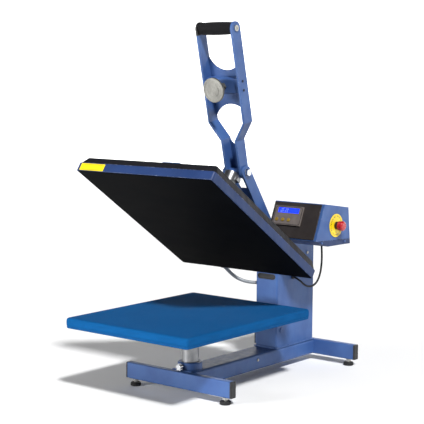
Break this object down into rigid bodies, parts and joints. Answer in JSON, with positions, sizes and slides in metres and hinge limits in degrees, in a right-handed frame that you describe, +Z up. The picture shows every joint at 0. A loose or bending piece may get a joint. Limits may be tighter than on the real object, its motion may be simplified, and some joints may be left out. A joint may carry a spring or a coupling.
{
  "type": "heat press",
  "caption": "Clamshell heat press standing open: padded lower platen on a post, heated upper platen on a hinged arm, tall two-bar handle, column and control box.",
  "frame": {"origin": "on the floor under the middle of the press's outer box, standing open", "axes": "+Z up; +Y to the back, towards the column; +X to the operator's right"},
  "size_m": [0.446, 0.7816, 0.9477],
  "materials": {
    "blue_paint": "satin",
    "black_plastic": "matte",
    "rubber": "matte",
    "chrome": "polished",
    "zinc": "satin",
    "aluminium": "satin",
    "bronze": "satin",
    "charcoal_paint": "matte",
    "pad_cloth": "woven",
    "board": "matte",
    "nonstick": "semi-gloss",
    "foam": "matte",
    "panel_paint": "matte",
    "bezel_plastic": "matte",
    "display": "gloss",
    "key_yellow": "gloss",
    "stop_yellow": "satin",
    "stop_red": "gloss",
    "cable_jacket": "satin",
    "conduit_grey": "satin"
  },
  "bodies": {
    "frame": {"front_foot_tube": "blue_paint", "rear_foot_tube": "blue_paint", "foot_end_caps": "black_plastic", "spine_tube": "blue_paint", "post_socket": "blue_paint", "column_shell": "blue_paint", "slot_insert": "black_plastic", "hinge_pins": "zinc", "box_bracket": "blue_paint", "frame_screws": "zinc", "box_cover": "blue_paint", "box_tray": "blue_paint", "front_panel": "panel_paint", "controller_bezel": "bezel_plastic", "lcd_window": "display", "stop_plate": "stop_yellow", "power_inlet": "black_plastic", "lead_glands": "black_plastic", "control_cable": "cable_jacket", "conduit": "conduit_grey"},
    "platen_arm": {"arm_plates": "blue_paint", "arm_web": "blue_paint", "hinge_bushes": "bronze", "pivot_bolt": "chrome", "hanger_post": "aluminium", "heating_plate": "nonstick", "insulation_board": "board", "platen_skirt": "blue_paint", "top_cover": "charcoal_paint", "cover_screws": "zinc", "magnet_bracket": "blue_paint", "holding_magnet": "zinc", "platen_ferrule": "zinc"},
    "handle": {"handle_left_bar": "blue_paint", "handle_right_bar": "blue_paint", "cross_plate": "blue_paint", "handle_web": "blue_paint", "cross_trough": "blue_paint", "grip_rod": "zinc", "grip_foam": "foam", "handle_screws": "zinc", "toggle_foot": "blue_paint"},
    "catch": {"catch_disc": "zinc"},
    "link": {"toggle_link": "blue_paint"},
    "spring_tube": {"gas_spring_tube": "charcoal_paint"},
    "spring_rod": {"gas_spring_rod": "chrome"},
    "lower_platen": {"pad_post": "aluminium", "pad_plate": "blue_paint", "pad_cover": "pad_cloth"},
    "socket_screw": {"clamp_screw": "chrome"},
    "stop_plunger": {"stop_stem": "zinc"},
    "stop_button": {"stop_head": "stop_red"},
    "left_key": {"key_left": "key_yellow"},
    "middle_key": {"key_middle": "key_yellow"},
    "right_key": {"key_right": "key_yellow"},
    "rocker": {"power_rocker": "black_plastic"},
    "front_left_foot": {"foot_front_left": "rubber"},
    "front_right_foot": {"foot_front_right": "rubber"},
    "rear_left_foot": {"foot_rear_left": "rubber"},
    "rear_right_foot": {"foot_rear_right": "rubber"}
  },
  "joints": [
    {"name": "arm_hinge", "type": "hinge", "parent": "frame", "child": "platen_arm", "pos_m": [-0.003, 0.2362, 0.283], "axis": [1, 0, 0], "range_deg": [0, 34], "stiffness_Nm_per_rad": 160, "springref_deg": -57.3, "deforming": ["conduit"]},
    {"name": "handle_pivot", "type": "hinge", "parent": "platen_arm", "child": "handle", "pos_m": [-0.003, 0.0502, 0.557], "axis": [1, 0, 0], "range_deg": [0, 57.6]},
    {"name": "link_pivot", "type": "hinge", "parent": "frame", "child": "link", "pos_m": [-0.003, 0.2488, 0.3146], "axis": [1, 0, 0], "range_deg": [0, 29.57]},
    {"name": "spring_tube_pivot", "type": "hinge", "parent": "frame", "child": "spring_tube", "pos_m": [-0.003, 0.2092, 0.11], "axis": [1, 0, 0], "range_deg": [-1.98, 0]},
    {"name": "spring_rod_slide", "type": "slide", "parent": "spring_tube", "child": "spring_rod", "axis": [0, -0.0404, 0.9992], "range_m": [-0.0196, 0]},
    {"name": "catch_turn", "type": "hinge", "parent": "handle", "child": "catch", "pos_m": [-0.003, -0.05288, 0.77233], "axis": [0, 0.9744, 0.225], "continuous": true},
    {"name": "lower_platen_turn", "type": "hinge", "parent": "frame", "child": "lower_platen", "pos_m": [-0.003, -0.1408, 0.08], "axis": [0, 0, 1], "continuous": true},
    {"name": "socket_screw_turn", "type": "hinge", "parent": "frame", "child": "socket_screw", "pos_m": [-0.003, -0.1808, 0.071], "axis": [0, -1, 0], "continuous": true},
    {"name": "stop_push", "type": "slide", "parent": "frame", "child": "stop_plunger", "axis": [-1, 0, 0], "range_m": [0, 0.004], "stiffness_N_per_m": 1500, "springref_m": -0.002},
    {"name": "stop_twist", "type": "hinge", "parent": "stop_plunger", "child": "stop_button", "pos_m": [0.217, 0.2252, 0.414], "axis": [1, 0, 0], "range_deg": [0, 45], "stiffness_Nm_per_rad": 0.15, "springref_deg": -5.73},
    {"name": "left_key_press", "type": "slide", "parent": "frame", "child": "left_key", "axis": [0, 0.922, -0.3872], "range_m": [0, 0.0012], "stiffness_N_per_m": 900, "springref_m": -0.0006},
    {"name": "middle_key_press", "type": "slide", "parent": "frame", "child": "middle_key", "axis": [0, 0.922, -0.3872], "range_m": [0, 0.0012], "stiffness_N_per_m": 900, "springref_m": -0.0006},
    {"name": "right_key_press", "type": "slide", "parent": "frame", "child": "right_key", "axis": [0, 0.922, -0.3872], "range_m": [0, 0.0012], "stiffness_N_per_m": 900, "springref_m": -0.0006},
    {"name": "rocker_tilt", "type": "hinge", "parent": "frame", "child": "rocker", "pos_m": [0.145, 0.29025, 0.41748], "axis": [1, 0, 0], "range_deg": [-20, 0]},
    {"name": "front_left_foot_turn", "type": "hinge", "parent": "frame", "child": "front_left_foot", "pos_m": [-0.153, -0.1832, 0.01], "axis": [0, 0, 1], "continuous": true},
    {"name": "front_right_foot_turn", "type": "hinge", "parent": "frame", "child": "front_right_foot", "pos_m": [0.147, -0.1832, 0.01], "axis": [0, 0, 1], "continuous": true},
    {"name": "rear_left_foot_turn", "type": "hinge", "parent": "frame", "child": "rear_left_foot", "pos_m": [-0.153, 0.3768, 0.01], "axis": [0, 0, 1], "continuous": true},
    {"name": "rear_right_foot_turn", "type": "hinge", "parent": "frame", "child": "rear_right_foot", "pos_m": [0.147, 0.3768, 0.01], "axis": [0, 0, 1], "continuous": true}
  ],
  "couplings": [
    {"joint": "handle_pivot", "follows": "arm_hinge", "ratio": 1.6912},
    {"joint": "link_pivot", "follows": "arm_hinge", "ratio": 0.86684},
    {"joint": "spring_tube_pivot", "follows": "arm_hinge", "ratio": -0.055156},
    {"joint": "spring_rod_slide", "follows": "arm_hinge", "m_per_rad": -0.03227}
  ]
}
